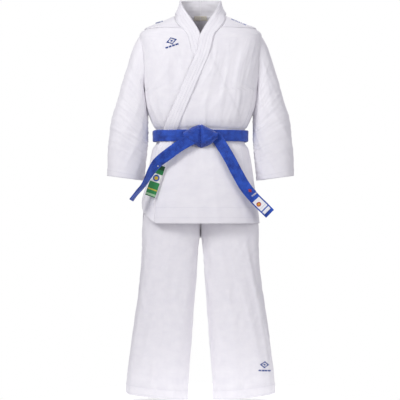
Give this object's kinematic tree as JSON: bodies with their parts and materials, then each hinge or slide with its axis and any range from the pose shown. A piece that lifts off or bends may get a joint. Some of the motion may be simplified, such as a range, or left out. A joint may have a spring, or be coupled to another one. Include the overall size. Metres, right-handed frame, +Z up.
{
  "type": "karate uniform",
  "caption": "Karate uniform shaped as worn: cross-over jacket with wide sleeves, straight trousers and a knotted belt with hanging tails.",
  "frame": {"origin": "middle of the neck opening, level with the neck seam", "axes": "+Z up along the uniform, -Y out of the front, +X to the wearer's left"},
  "size_m": [0.7072, 0.2941, 1.526],
  "materials": {
    "white_cotton": "matt woven cotton",
    "belt_cotton": "dyed cotton twill, stitched in rows",
    "woven_label": "woven satin",
    "printed_card": "printed coated card",
    "tag_plastic": "clear moulded fastener",
    "elastic": "ribbed elastic covered in cotton"
  },
  "bodies": {
    "jacket_and_seat": {"back_panel_left": "white_cotton", "back_panel_right": "white_cotton", "front_panel_over": "white_cotton", "front_panel_under": "white_cotton", "lapel_band_over": "white_cotton", "lapel_band_under": "white_cotton", "belt_wrap_inner": "belt_cotton", "belt_wrap_outer": "belt_cotton", "belt_knot": "belt_cotton", "neck_label": "woven_label", "inner_tie_front": "white_cotton", "inner_tie_side": "white_cotton", "trouser_seat": "white_cotton", "waistband": "elastic", "crotch_gusset": "white_cotton", "shoulder_yoke_left": "white_cotton", "shoulder_yoke_right": "white_cotton", "slit_tab_left": "white_cotton", "slit_tab_right": "white_cotton"},
    "belt_tail_left": {"belt_tail_left": "belt_cotton", "belt_label": "woven_label"},
    "belt_tail_right": {"belt_tail_right": "belt_cotton", "tag_pin": "tag_plastic"},
    "swing_tag": {"swing_tag": "printed_card"},
    "sleeve_left": {"sleeve_left": "white_cotton", "underarm_gusset_left": "white_cotton", "cuff_left": "white_cotton"},
    "leg_left": {"trouser_leg_left": "white_cotton", "leg_hem_left": "white_cotton"},
    "sleeve_right": {"sleeve_right": "white_cotton", "underarm_gusset_right": "white_cotton", "cuff_right": "white_cotton"},
    "leg_right": {"trouser_leg_right": "white_cotton", "leg_hem_right": "white_cotton"}
  },
  "joints": [
    {"name": "sleeve_left_raise", "type": "hinge", "parent": "jacket_and_seat", "child": "sleeve_left", "pos_m": [0.234, 0, -0.061], "axis": [0, -1, 0], "range_deg": [0, 75]},
    {"name": "sleeve_right_raise", "type": "hinge", "parent": "jacket_and_seat", "child": "sleeve_right", "pos_m": [-0.234, 0, -0.061], "axis": [0, 1, 0], "range_deg": [0, 75]},
    {"name": "leg_left_swing", "type": "hinge", "parent": "jacket_and_seat", "child": "leg_left", "pos_m": [0.112, 0, -0.802], "axis": [-1, 0, 0], "range_deg": [-25, 45]},
    {"name": "leg_right_swing", "type": "hinge", "parent": "jacket_and_seat", "child": "leg_right", "pos_m": [-0.112, 0, -0.802], "axis": [-1, 0, 0], "range_deg": [-25, 45]},
    {"name": "belt_tail_left_lift", "type": "hinge", "parent": "jacket_and_seat", "child": "belt_tail_left", "pos_m": [0.072, -0.1338, -0.472], "axis": [-1, 0, 0], "range_deg": [0, 70]},
    {"name": "belt_tail_right_lift", "type": "hinge", "parent": "jacket_and_seat", "child": "belt_tail_right", "pos_m": [-0.068, -0.1338, -0.475], "axis": [-1, 0, 0], "range_deg": [0, 70]},
    {"name": "swing_tag_turn", "type": "hinge", "parent": "belt_tail_right", "child": "swing_tag", "pos_m": [-0.158, -0.1128, -0.556], "axis": [0, 1, 0], "range_deg": [-15, 20]}
  ]
}
